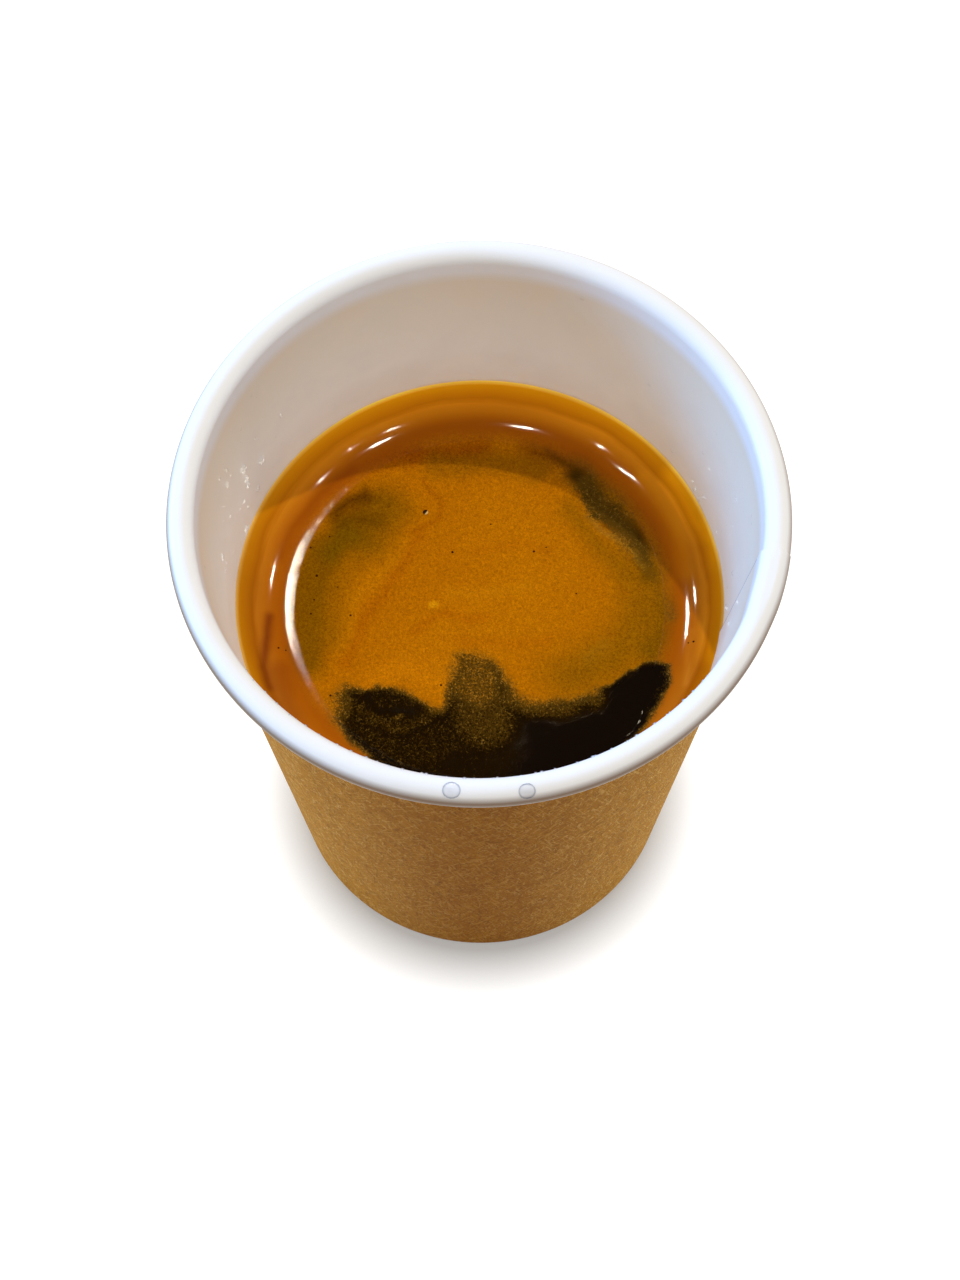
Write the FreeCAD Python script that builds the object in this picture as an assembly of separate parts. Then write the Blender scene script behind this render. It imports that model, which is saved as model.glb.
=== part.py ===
"""A small americano in a double-walled paper cup.

Five pieces: the white inner cup with its rolled lip, the disc that closes it,
the kraft wrap around it, the coffee, and the crema that floats on the coffee.
Millimetres, +Z up, origin on the table at the middle of the cup.
"""
import FreeCAD, Part
import math
import os

# Driving dimensions of the cup
cup_height = 93.0
rim_diameter = 80.0
foot_diameter = 56.0
roll_diameter = 3.6
cup_board = 0.28
kraft_board = 0.30
glue_gap = 0.02

# Inner cup: its foot, its folded hem and the lap where the ends of the wrap are joined
inner_foot_diameter = 50.0
inner_foot_height = 0.5
hem_height = 5.0
disc_height = 6.6
disc_bend = 0.7
lap_width = 6.0
lap_angle = -9.5
roll_end_angle = -145.0

# Kraft wrap: how far its top edge stays under the lip, and its turned-in foot
wrap_top_gap = 3.4
wrap_corner = 0.6
wrap_flange_height = 5.0
wrap_lap_angle = 4.0

# Drink: the contact line, the lift of the surface at the wall, and the foam
contact_below_rim = 27.4
meniscus_rise = 3.5
meniscus_length = 3.5
crema_depth = 1.2
pool_drop = 0.15

# Bare coffee shows inside these two outlines, seen from above
front_pool = [
    (-19.7, -13.6), (-15.0, -12.2), (-10.5, -12.6), (-5.0, -15.6), (-4.0, -10.5), (-0.8, -6.8), (2.4, -9.4),
    (4.8, -14.6), (9.0, -16.4), (14.8, -13.6), (20.6, -9.8), (25.8, -9.0), (24.2, -14.6), (19.0, -20.4),
    (10.0, -25.4), (0.0, -27.4), (-9.5, -25.4), (-16.4, -20.6),
]
back_streak = [
    (9.0, 24.0), (13.4, 21.6), (17.6, 17.8), (21.4, 13.6), (24.0, 9.4), (25.4, 4.4), (23.6, 3.6),
    (20.6, 7.0), (17.2, 11.6), (14.0, 15.6), (12.0, 19.8),
]

# Worked out from the above
roll_radius = roll_diameter / 2
roll_centre_radius = rim_diameter / 2 - roll_radius
roll_centre_height = cup_height - roll_radius
bore_radius = roll_centre_radius - roll_radius
inner_taper = (bore_radius + cup_board - inner_foot_diameter / 2) / (roll_centre_height - inner_foot_height)
wrap_top = cup_height - wrap_top_gap
contact_height = cup_height - contact_below_rim
drink_level = contact_height - meniscus_rise


def inner_face(height):
    """Radius of the white inner face at a height."""
    return bore_radius - inner_taper * (roll_centre_height - height)


def inner_back(height):
    """Radius of the hidden outer face of the inner cup at a height."""
    return inner_face(height) + cup_board


wrap_top_radius = inner_back(wrap_top) + kraft_board
wrap_taper = (wrap_top_radius - foot_diameter / 2) / wrap_top


def wrap_face(height):
    """Radius of the kraft outer face at a height."""
    return foot_diameter / 2 + wrap_taper * height


def at(radius, height):
    """A point of a profile, in the plane through the axis."""
    return FreeCAD.Vector(radius, 0, height)


def line(*points):
    """Straight edges through points given as (radius, height)."""
    corners = [at(*point) for point in points]
    return [Part.LineSegment(a, b).toShape() for a, b in zip(corners, corners[1:])]


def arc(centre, radius, start, end):
    """A circular edge of a profile about a centre (radius, height); angles in degrees."""
    turn = [math.radians(angle) for angle in (start, (start + end) / 2, end)]
    ends = [at(centre[0] + radius * math.cos(a), centre[1] + radius * math.sin(a)) for a in turn]
    return [Part.Arc(*ends).toShape()]


def spun(edges, start=0.0, sweep=360.0):
    """The solid that a closed profile makes when it turns about the axis of the cup."""
    face = Part.Face(Part.Wire(edges))
    face.rotate(FreeCAD.Vector(), FreeCAD.Vector(0, 0, 1), start)
    return face.revolve(FreeCAD.Vector(), FreeCAD.Vector(0, 0, 1), sweep)


def one_solid(shape):
    """The single solid of a boolean result, with split faces joined up again."""
    solids = shape.removeSplitter().Solids
    if len(solids) != 1:
        raise ValueError(f"expected one solid, got {len(solids)}")
    return solids[0]


def make_inner_cup():
    """One sheet of white board: hem folded round the disc's flange, wall, and lip rolled outwards."""
    centre = (roll_centre_radius, roll_centre_height)
    roll_inside = roll_radius - cup_board
    end = math.radians(roll_end_angle)
    roll_out_end = (centre[0] + roll_radius * math.cos(end), centre[1] + roll_radius * math.sin(end))
    roll_in_end = (centre[0] + roll_inside * math.cos(end), centre[1] + roll_inside * math.sin(end))
    hem = 3 * cup_board
    fold_radius = hem / 2
    fold_height = inner_foot_height + fold_radius
    fold_centre = (inner_back(fold_height) - fold_radius, fold_height)
    hem_top = inner_foot_height + hem_height
    slot_floor = inner_foot_height + cup_board
    edges = arc(centre, roll_radius, 180, 0)
    edges += arc(centre, roll_radius, 0, roll_end_angle)
    edges += line(roll_out_end, roll_in_end)
    edges += arc(centre, roll_inside, roll_end_angle, 0)
    edges += arc(centre, roll_inside, 0, 180)
    edges += line((centre[0] - roll_inside, centre[1]), (inner_back(fold_height), fold_height))
    edges += arc(fold_centre, fold_radius, 0, -180)
    edges += line(
        (fold_centre[0] - fold_radius, fold_height),
        (inner_back(hem_top) - hem, hem_top),
        (inner_face(hem_top) - cup_board, hem_top),
        (inner_face(slot_floor) - cup_board, slot_floor),
        (inner_face(slot_floor), slot_floor),
        (centre[0] - roll_radius, centre[1]),
    )
    lap_sweep = math.degrees(lap_width / bore_radius)
    lap_foot = disc_height + disc_bend
    lap_start = at(bore_radius - cup_board, roll_centre_height)
    lap_shoulder = (roll_radius + cup_board / 2) * math.sin(math.pi / 4)
    fade = Part.Arc(lap_start, at(centre[0] - lap_shoulder, centre[1] + lap_shoulder), at(centre[0], cup_height))
    lap = line(
        (inner_back(lap_foot), lap_foot),
        (inner_face(lap_foot) - cup_board, lap_foot),
        (bore_radius - cup_board, roll_centre_height),
    )
    lap += [fade.toShape()]
    lap += line((centre[0], cup_height), (centre[0], cup_height - cup_board))
    lap += arc(centre, roll_inside, 90, 180)
    lap += line((centre[0] - roll_inside, centre[1]), (inner_back(lap_foot), lap_foot))
    return one_solid(spun(edges).fuse(spun(lap, lap_angle - lap_sweep, lap_sweep)))


def make_cup_base():
    """The disc that closes the inner cup: its edge is bent down and held in the folded hem."""
    flange_foot = inner_foot_height + cup_board
    bend_height = disc_height - disc_bend
    bend_radius = inner_face(bend_height) - disc_bend
    inside = disc_bend - cup_board
    edges = line((0, disc_height - cup_board), (0, disc_height), (bend_radius, disc_height))
    edges += arc((bend_radius, bend_height), disc_bend, 90, 0)
    edges += line(
        (inner_face(bend_height), bend_height),
        (inner_face(flange_foot), flange_foot),
        (inner_face(flange_foot) - cup_board, flange_foot),
        (bend_radius + inside, bend_height),
    )
    edges += arc((bend_radius, bend_height), inside, 0, 90)
    edges += line((bend_radius, disc_height - cup_board), (0, disc_height - cup_board))
    return one_solid(spun(edges))


def make_kraft_wrap():
    """The brown outer wrap: straight wall, flat turned-in foot, and a flange glued to the inner cup."""
    flange_top = wrap_flange_height
    flange_foot_radius = inner_back(inner_foot_height) + glue_gap
    flange_top_radius = inner_back(flange_top) + glue_gap
    edges = line((wrap_top_radius - kraft_board, wrap_top), (wrap_top_radius, wrap_top))
    edges += line((wrap_top_radius, wrap_top), (wrap_face(wrap_corner), wrap_corner))
    edges += arc((wrap_face(wrap_corner) - wrap_corner, wrap_corner), wrap_corner, 0, -90)
    edges += line(
        (wrap_face(wrap_corner) - wrap_corner, 0),
        (flange_foot_radius, 0),
        (flange_top_radius, flange_top),
        (flange_top_radius + kraft_board, flange_top),
        (flange_foot_radius + kraft_board, kraft_board),
        (wrap_face(kraft_board) - wrap_corner, kraft_board),
    )
    edges += line(
        (wrap_face(kraft_board) - wrap_corner, kraft_board),
        (wrap_face(wrap_corner) - kraft_board, wrap_corner),
        (wrap_top_radius - kraft_board, wrap_top),
    )
    lap = line(
        (wrap_face(wrap_corner) - kraft_board / 2, wrap_corner),
        (wrap_face(wrap_corner) + kraft_board, wrap_corner),
        (wrap_top_radius + kraft_board, wrap_top),
        (wrap_top_radius - kraft_board / 2, wrap_top),
        (wrap_face(wrap_corner) - kraft_board / 2, wrap_corner),
    )
    lap_sweep = math.degrees(lap_width / wrap_top_radius)
    return one_solid(spun(edges).fuse(spun(lap, wrap_lap_angle, lap_sweep)))


def surface_height(radius, level):
    """Height of the drink's surface: flat in the middle, lifting towards the wall."""
    return level + meniscus_rise * math.exp((radius - inner_face(contact_height)) / meniscus_length)


def drink_layer(floor, level):
    """The drink from a flat floor up to its surface at a level, out to the wall."""
    wall_height = level + meniscus_rise
    reach = inner_face(wall_height)
    flat = reach - 5 * meniscus_length
    steps = 12
    radii = [flat + (reach - flat) * step / steps for step in range(steps + 1)]
    heights = [surface_height(radius, level) for radius in radii]
    heights[0] = level
    heights[-1] = wall_height
    curve = Part.BSplineCurve()
    curve.interpolate([at(radius, height) for radius, height in zip(radii, heights)])
    edges = line((0, floor), (0, level), (flat, level))
    edges += [curve.toShape()]
    edges += line((reach, wall_height), (inner_face(floor), floor), (0, floor))
    return spun(edges)


def pool_column(outline):
    """An upright column over a smooth closed outline, taller than the foam."""
    curve = Part.BSplineCurve()
    curve.interpolate([FreeCAD.Vector(x, y, drink_level - 2 * crema_depth) for x, y in outline], PeriodicFlag=True)
    return Part.Face(Part.Wire([curve.toShape()])).extrude(FreeCAD.Vector(0, 0, 4 * crema_depth))


def make_drink(inner_cup):
    """The coffee, and the crema with its two openings, both trimmed to the lapped wall of the cup."""
    crema_floor = drink_level - crema_depth
    bend_height = disc_height - disc_bend
    bend_radius = inner_face(bend_height) - disc_bend
    edges = line((0, crema_floor), (0, disc_height), (bend_radius, disc_height))
    edges += arc((bend_radius, bend_height), disc_bend, 90, 0)
    edges += line((inner_face(bend_height), bend_height), (inner_face(crema_floor), crema_floor), (0, crema_floor))
    pools = pool_column(front_pool).fuse(pool_column(back_streak))
    bare = drink_layer(crema_floor, drink_level - pool_drop).common(pools)
    coffee = spun(edges).fuse(bare).cut(inner_cup)
    crema = drink_layer(crema_floor, drink_level).cut(pools).cut(inner_cup)
    return one_solid(coffee), one_solid(crema)


inner_cup = make_inner_cup()
coffee, crema = make_drink(inner_cup)
pieces = {
    "inner_cup": inner_cup,
    "cup_base": make_cup_base(),
    "kraft_wrap": make_kraft_wrap(),
    "coffee": coffee,
    "crema": crema,
}
os.makedirs("parts", exist_ok=True)
for name, shape in pieces.items():
    shape.exportStep(f"parts/{name}.step")
    print(name, "valid" if shape.isValid() else "INVALID", round(shape.Volume), "cubic mm")
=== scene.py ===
"""A small americano in a kraft paper cup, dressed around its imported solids."""
import math
import random

import bpy
import numpy as np
from mathutils import Matrix, Vector, noise


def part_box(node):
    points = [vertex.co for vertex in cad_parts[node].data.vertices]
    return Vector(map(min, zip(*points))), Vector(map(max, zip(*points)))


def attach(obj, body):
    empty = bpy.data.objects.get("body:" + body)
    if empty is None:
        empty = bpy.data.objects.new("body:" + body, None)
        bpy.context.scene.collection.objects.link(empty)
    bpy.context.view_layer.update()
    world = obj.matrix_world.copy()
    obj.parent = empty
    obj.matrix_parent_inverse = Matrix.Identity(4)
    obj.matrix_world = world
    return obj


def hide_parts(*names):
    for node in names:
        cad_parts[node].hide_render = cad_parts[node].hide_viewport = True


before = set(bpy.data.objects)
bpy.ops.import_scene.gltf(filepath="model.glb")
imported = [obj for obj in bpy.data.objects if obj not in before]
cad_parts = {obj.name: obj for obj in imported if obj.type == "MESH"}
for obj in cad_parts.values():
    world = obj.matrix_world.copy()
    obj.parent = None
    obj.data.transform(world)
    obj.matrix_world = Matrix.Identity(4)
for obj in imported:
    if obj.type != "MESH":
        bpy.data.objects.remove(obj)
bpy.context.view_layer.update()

# ------------------------------------------------------------
# Inner cup. One sheet of white board, skinned with clear polythene, is wrapped into a cone and
# sealed down a lap. Its foot is folded in round the base disc, and its lip is rolled outwards.
# ------------------------------------------------------------
MM = 0.001
cup_low, cup_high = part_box("inner_cup")
rim_radius = (cup_high[0] - cup_low[0]) / 2
rim_top = cup_high[2]
cup_foot = cup_low[2]
board = 0.28 * MM
roll_radius = 1.8 * MM
cup_foot_radius = 25.0 * MM
roll_line = rim_radius - roll_radius
roll_height = rim_top - roll_radius
bore_radius = roll_line - roll_radius
cup_taper = (bore_radius + board - cup_foot_radius) / (roll_height - cup_foot)
hem_top = cup_foot + 5.0 * MM
hem_fold = board            # the hem turns up a board's width inside the wall, to hold the base disc
cup_facets = 240
lap_edge = math.radians(-9.5)
lap_reach = math.radians(9.4)
lap_slope = math.radians(5.0)
lap_on_lip = 0.3            # what is left of the lap's step where it is pressed into the roll


def white_face(height):
    """Radius of the white inside of the cup at a height."""
    return bore_radius - cup_taper * (roll_height - height)


def srgb(red, green, blue):
    """A colour given as on a colour card, from 0 to 255, in the linear values that a shader takes."""
    parts = [channel / 255 for channel in (red, green, blue)]
    return [p / 12.92 if p <= 0.04045 else ((p + 0.055) / 1.055) ** 2.4 for p in parts] + [1.0]


def bow(centre, radius, start, end, steps):
    """Points along a round stretch of an outline; angles in degrees from the outward side."""
    turns = [math.radians(start + (end - start) * step / steps) for step in range(steps + 1)]
    return [(centre[0] + radius * math.cos(turn), centre[1] + radius * math.sin(turn)) for turn in turns]


def edit(selected="SELECT"):
    """Opens the active piece for editing, with all or nothing of it selected."""
    bpy.ops.object.mode_set(mode="EDIT")
    bpy.ops.mesh.select_all(action=selected)


def close():
    """Ends the editing of a piece."""
    bpy.ops.object.mode_set(mode="OBJECT")


def pull_ring(radius, height, next_radius, next_height):
    """Extrudes the selected ring to another height, and widens it to another radius."""
    bpy.ops.mesh.extrude_region_move(TRANSFORM_OT_translate={"value": (0, 0, next_height - height)})
    grow = next_radius / radius
    bpy.ops.transform.resize(value=(grow, grow, 1), center_override=(0, 0, 0))


def lathe(name, outline, facets):
    """Draws a ring and pulls it from point to point of an outline given as (radius, height)."""
    bpy.ops.object.select_all(action="DESELECT")
    bpy.ops.mesh.primitive_circle_add(vertices=facets, radius=outline[0][0], location=(0, 0, outline[0][1]))
    piece = bpy.context.object
    piece.name = name
    bpy.ops.object.transform_apply(location=True, rotation=False, scale=False)
    edit()
    for point, next_point in zip(outline, outline[1:]):
        pull_ring(*point, *next_point)
    close()
    return piece


def face_outwards(piece):
    """Turns every face of a piece the right way out."""
    bpy.context.view_layer.objects.active = piece
    edit()
    bpy.ops.mesh.normals_make_consistent(inside=False)
    close()


def give_thickness(piece, thickness, side=0.0):
    """Makes a sheet as thick as its board."""
    bpy.context.view_layer.objects.active = piece
    sheet = piece.modifiers.new("board", "SOLIDIFY")
    sheet.thickness = thickness
    sheet.offset = side
    sheet.use_even_offset = True
    bpy.ops.object.modifier_apply(modifier=sheet.name)


def smooth(piece, angle=35):
    """Rounds the shading of a piece except over its sharp edges."""
    bpy.ops.object.select_all(action="DESELECT")
    piece.select_set(True)
    bpy.context.view_layer.objects.active = piece
    bpy.ops.object.shade_smooth_by_angle(angle=math.radians(angle))


def azimuth_and_radius(spot):
    """Where a point stands round the cup, and how far from its axis."""
    return math.atan2(spot.y, spot.x), math.hypot(spot.x, spot.y)


def round_cup(radius, turn, height):
    """A point, or a direction, at a radius and a height, turned round the cup's axis."""
    return Vector((radius * math.cos(turn), radius * math.sin(turn), height))


def lap_layer(azimuth, edge, reach, slope):
    """How much of the upper layer lies at an azimuth: a step at its edge, a slope on its far side."""
    behind = (edge - azimuth) % (2 * math.pi)
    if behind <= reach:
        return 1.0
    return max(0.0, 1 - (behind - reach) / slope)


def crowd_to_edge(piece, edge, facets):
    """Brings the two columns of points on either side of a lap's edge close up to it."""
    pitch = 2 * math.pi / facets
    closest = 0.0015
    for point in piece.data.vertices:
        azimuth, radius = azimuth_and_radius(point.co)
        away = (azimuth - edge + math.pi) % (2 * math.pi) - math.pi
        if abs(away) < pitch:
            point.co = round_cup(radius, edge + math.copysign(closest, away), point.co.z)


class Nodes:
    """A small hand for wiring a material: each call adds one node and returns its output."""

    def __init__(self, name):
        self.material = bpy.data.materials.new(name)
        self.material.use_nodes = True
        self.tree = self.material.node_tree
        self.shader = self.tree.nodes["Principled BSDF"]

    def add(self, kind, output, inputs=(), **settings):
        node = self.tree.nodes.new(kind)
        for key, value in settings.items():
            setattr(node, key, value)
        for key, value in dict(inputs).items():
            self.set(node.inputs[key], value)
        return node.outputs[output]

    def set(self, socket, value):
        if isinstance(value, bpy.types.NodeSocket):
            self.tree.links.new(value, socket)
        else:
            socket.default_value = value

    def finish(self, **values):
        for key, value in values.items():
            self.set(self.shader.inputs[key.replace("_", " ")], value)

    def place(self):
        return self.add("ShaderNodeTexCoord", "Object")

    def part(self, vector, axis):
        return self.add("ShaderNodeSeparateXYZ", axis, {"Vector": vector})

    def vector(self, operation, first, second=(0, 0, 0)):
        output = "Value" if operation in ("LENGTH", "DISTANCE") else "Vector"
        return self.add("ShaderNodeVectorMath", output, {0: first, 1: second}, operation=operation)

    def grain(self, where, scale, detail=2.0, rough=0.5, twist=0.0):
        inputs = {"Vector": where, "Scale": scale, "Detail": detail, "Roughness": rough, "Distortion": twist}
        return self.add("ShaderNodeTexNoise", 0, inputs)

    def spread(self, value, low, high, to_low=0.0, to_high=1.0):
        inputs = {"Value": value, "From Min": low, "From Max": high, "To Min": to_low, "To Max": to_high}
        return self.add("ShaderNodeMapRange", "Result", inputs)

    def mix(self, share, first, second, blend="MIX"):
        node = self.tree.nodes.new("ShaderNodeMix")
        node.data_type = "RGBA"
        node.blend_type = blend
        self.set(node.inputs[0], share)
        self.set(node.inputs[6], first)
        self.set(node.inputs[7], second)
        return node.outputs[2]

    def shade(self, colour, red, green, blue):
        """A colour with each of its parts taken so many times."""
        return self.mix(1.0, colour, (red, green, blue, 1), "MULTIPLY")

    def sum(self, operation, first, second=0.0):
        return self.add("ShaderNodeMath", 0, {0: first, 1: second}, operation=operation)

    def times(self, first, second):
        return self.sum("MULTIPLY", first, second)

    def off(self, value, middle):
        """How far a value lies from a middle one, either way."""
        return self.sum("ABSOLUTE", self.sum("SUBTRACT", value, middle))

    def swing(self, value, reach):
        """A noise made to swing to both sides of nothing."""
        return self.times(self.sum("SUBTRACT", value, 0.5), reach)

    def strands(self, curl, middle, width, breaks):
        """Curly strands: thin lines where a noise passes a middle value, broken up by another."""
        return self.times(self.spread(self.off(curl, middle), 0.0, width, 1.0, 0.0), breaks)

    def bump(self, height, depth, strength=1.0):
        inputs = {"Height": height, "Distance": depth, "Strength": strength}
        return self.add("ShaderNodeBump", "Normal", inputs)


fold_height = cup_foot + board / 2 + hem_fold
fold_centre = (white_face(fold_height) - board / 2, fold_height)
white_hem = [(white_face(hem_top) - board / 2 - hem_fold, hem_top)]
white_hem += bow(fold_centre, hem_fold, 180, 360, 8)
wall_rings = 30
wall = [
    (white_face(z) + board / 2, z)
    for z in np.linspace(fold_height, roll_height, wall_rings + 1)[1:-1].tolist()
]
white_roll = bow((roll_line, roll_height), roll_radius - board / 2, 180, -145, 36)
inner_cup = lathe("inner_cup", white_hem + wall + white_roll, cup_facets)
crowd_to_edge(inner_cup, lap_edge, cup_facets)
for point in inner_cup.data.vertices:
    azimuth, radius = azimuth_and_radius(point.co)
    layer = lap_layer(azimuth, lap_edge, lap_reach, lap_slope)
    out, up = -1.0, 0.0
    if point.co.z > roll_height or radius > roll_line - roll_radius / 2:
        out, up = Vector((radius - roll_line, point.co.z - roll_height)).normalized()
        layer *= lap_on_lip + (1 - lap_on_lip) * max(0.0, -out)
    lift = board * layer
    point.co += round_cup(lift * out, azimuth, min(lift * up, rim_top - board / 2 - point.co.z))
face_outwards(inner_cup)
give_thickness(inner_cup, board)
smooth(inner_cup)

contact_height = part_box("crema")[1][2]
stain_wander = 0.7 * MM
stain_low, stain_high = -0.2 * MM, 0.35 * MM
cut_edge_shade_core, cut_edge_shade_width = 0.04 * MM, 0.22 * MM

white = Nodes("white_board")
where = white.place()
soft_patches = white.grain(where, 160, 3)
paper_tooth = white.grain(where, 2600, 3, 0.6)
height_above = white.part(where, "Z")
from_axis = white.vector("LENGTH", white.vector("MULTIPLY", where, (1, 1, 0)))

# The wall is painted darker and warmer towards the top and lighter near the drink, as painted shade, and the
# rolled lip is a plainer white
shade_towards_rim = white.spread(height_above, contact_height + 7 * MM, rim_top - 4 * MM)
white_tint = white.mix(shade_towards_rim, srgb(253, 249, 239), srgb(225, 209, 187))
on_roll = white.spread(height_above, rim_top - 5 * MM, rim_top - 3 * MM)
white_tint = white.mix(on_roll, white_tint, srgb(231, 228, 228))
patchy = white.spread(soft_patches, 0.3, 0.7, 0.0, 0.2)
white_tint = white.mix(patchy, white_tint, srgb(222, 219, 213))

# Down the edge of the lap, from the drink up to the lip, a thin blue-grey line stands for the cut board and
# is painted shade of the lap's step
at_drink = white.sum("GREATER_THAN", height_above, contact_height - 4 * MM)
below_lip = white.sum("LESS_THAN", height_above, roll_height - roll_radius)
around = white.sum("ARCTAN2", white.part(where, "Y"), white.part(where, "X"))
off_edge = white.times(white.off(around, lap_edge), bore_radius)
cut_edge_and_shade = white.spread(off_edge, cut_edge_shade_core, cut_edge_shade_width, 0.8, 0.0)
cut_edge_and_shade = white.times(cut_edge_and_shade, white.times(at_drink, below_lip))
white_tint = white.mix(cut_edge_and_shade, white_tint, srgb(116, 130, 168))

# Low on the outer side of the roll, where the sheet turns under, the board is painted browner: painted shade
# under the roll
painted_roll_shade = white.spread(height_above, roll_height + 0.5 * MM, roll_height + 1.4 * MM, 1.0, 0.0)
outer_half = white.spread(from_axis, roll_line, roll_line + roll_radius / 2)
not_below = white.spread(height_above, roll_height - 0.7 * MM, roll_height - 0.2 * MM)
for limit in (on_roll, outer_half, not_below):
    painted_roll_shade = white.times(painted_roll_shade, limit)
white_tint = white.mix(painted_roll_shade, white_tint, srgb(130, 100, 72))

# Coffee leaves a ragged stain along the line that it reaches
ragged = white.swing(white.grain(where, 420, 3), stain_wander)
stain_height = white.sum("ADD", height_above, ragged)
stain = white.spread(stain_height, contact_height + stain_low, contact_height + stain_high, 0.5, 0.0)
stain = white.times(stain, at_drink)
white.finish(
    Base_Color=white.mix(stain, white_tint, srgb(218, 170, 108)),
    Roughness=white.spread(soft_patches, 0.3, 0.7, 0.34, 0.44),
    Normal=white.bump(white.sum("ADD", paper_tooth, soft_patches), 0.02 * MM, 0.6),
    Specular_IOR_Level=0.45,
    IOR=1.5,
)
inner_cup.data.materials.append(white.material)
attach(inner_cup, "root")
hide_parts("inner_cup")

# ------------------------------------------------------------
# Base disc. A round of the same board, its edge bent down and held in the cup's folded hem, so
# that the bottom stands clear of the table.
# ------------------------------------------------------------
disc_low, disc_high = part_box("cup_base")
disc_top = disc_high[2] - board / 2
bend = 0.7 * MM - board / 2
bend_height = disc_top - bend
bend_line = white_face(bend_height) - board / 2 - bend
disc_rings = 6
disc_centre = 0.02          # the first ring, drawn small and then pinched shut
disc_facets = 144
disc_outline = [(bend_line * step / disc_rings, disc_top) for step in (disc_centre, *range(1, disc_rings))]
disc_outline += bow((bend_line, bend_height), bend, 90, 0, 6)
disc_outline += [(white_face(disc_low[2]) - board / 2, disc_low[2])]
cup_base = lathe("cup_base", disc_outline, disc_facets)
edit("DESELECT")
close()
for point in cup_base.data.vertices:
    point.select = math.hypot(point.co.x, point.co.y) < bend_line * disc_centre
bpy.ops.object.mode_set(mode="EDIT")
bpy.ops.mesh.merge(type="CENTER")
close()
face_outwards(cup_base)
give_thickness(cup_base, board)
smooth(cup_base)
cup_base.data.materials.append(white.material)
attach(cup_base, "root")
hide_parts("cup_base")

# ------------------------------------------------------------
# Kraft wrap. A blank of unbleached brown paper, full of short fibres, is wrapped round the cup,
# glued down its own lap, tucked up under the lip and turned in at the foot.
# ------------------------------------------------------------
kraft = 0.30 * MM
wrap_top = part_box("kraft_wrap")[1][2]
wrap_foot_radius = 28.0 * MM
wrap_top_radius = white_face(wrap_top) + board + kraft
wrap_taper = (wrap_top_radius - wrap_foot_radius) / wrap_top
corner = 0.6 * MM
flange_top = 5.0 * MM
flange_gap = 0.02 * MM
flange_bend = 0.1 * MM
wrap_rings = 36
wrap_lap_edge = math.radians(13.4)
wrap_lap_reach = math.radians(9.4)
lap_flat_below = 3 * MM     # towards the foot the lap is pressed flat


def kraft_face(height):
    """Radius of the brown outside at a height."""
    return wrap_foot_radius + wrap_taper * height


def flange_line(height):
    """Radius of the middle of the turned-in foot, which lies against the cup, at a height."""
    return white_face(height) + board + flange_gap + kraft / 2


wrap_outline = [
    (kraft_face(z) - kraft / 2, z) for z in np.linspace(wrap_top, corner, wrap_rings).tolist()
]
wrap_outline += bow((kraft_face(corner) - corner, corner), corner - kraft / 2, 0, -90, 5)[1:]
wrap_outline += [(flange_line(cup_foot) + flange_bend, kraft / 2)]
wrap_outline += [(flange_line(cup_foot), kraft / 2 + flange_bend), (flange_line(flange_top), flange_top)]
kraft_wrap = lathe("kraft_wrap", wrap_outline, cup_facets)
crowd_to_edge(kraft_wrap, wrap_lap_edge, cup_facets)
for point in kraft_wrap.data.vertices:
    azimuth, radius = azimuth_and_radius(point.co)
    if radius > kraft_face(point.co.z) - kraft:
        layer = lap_layer(azimuth, wrap_lap_edge, wrap_lap_reach, lap_slope)
        grow = 1 + kraft * layer * min(1.0, point.co.z / lap_flat_below) / radius
        point.co.x *= grow
        point.co.y *= grow
face_outwards(kraft_wrap)
give_thickness(kraft_wrap, kraft)
smooth(kraft_wrap)

# The sheet's own map: millimetres round it and up it, carried on inwards under the foot
wrap_map = kraft_wrap.data.uv_layers.new(name="wrap")
for face in kraft_wrap.data.polygons:
    middle = math.atan2(face.center.y, face.center.x)
    for loop in face.loop_indices:
        point = kraft_wrap.data.vertices[kraft_wrap.data.loops[loop].vertex_index].co
        turn, radius = azimuth_and_radius(point)
        turn += 2 * math.pi * round((middle - turn) / (2 * math.pi))
        inward = radius - wrap_foot_radius
        across = point.z if inward > -corner else point.z + inward * 2
        wrap_map.data[loop].uv = (turn * wrap_foot_radius / MM, across / MM)

paper = Nodes("kraft_paper")
flat_sheet = paper.add("ShaderNodeUVMap", "UV", uv_map="wrap")
fibre_lie = (1.35, 0.55, 1)     # fibres run more up the sheet than round it
on_wrap = paper.vector("MULTIPLY", flat_sheet, fibre_lie)


def fibres(turns, width, length):
    """Short fibres that lie two ways: a noise drawn out along each turn, cut to thin streaks."""
    streaks = []
    for turn in turns:
        inputs = {"Vector": on_wrap, "Rotation": (0, 0, turn), "Scale": (length, width, 1)}
        lie = paper.add("ShaderNodeMapping", "Vector", inputs, vector_type="TEXTURE")
        streaks.append(paper.spread(paper.grain(lie, 1.0, 2, 0.5, 0.9), 0.57, 0.66))
    return paper.sum("MAXIMUM", *streaks)


def curls(scale, width):
    """Curly fibres, broken into short lengths."""
    breaks = paper.spread(paper.grain(on_wrap, scale * 1.6, 2, 0.5), 0.46, 0.52)
    return paper.strands(paper.grain(on_wrap, scale, 2, 0.55, 0.7), 0.5, width, breaks)


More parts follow.
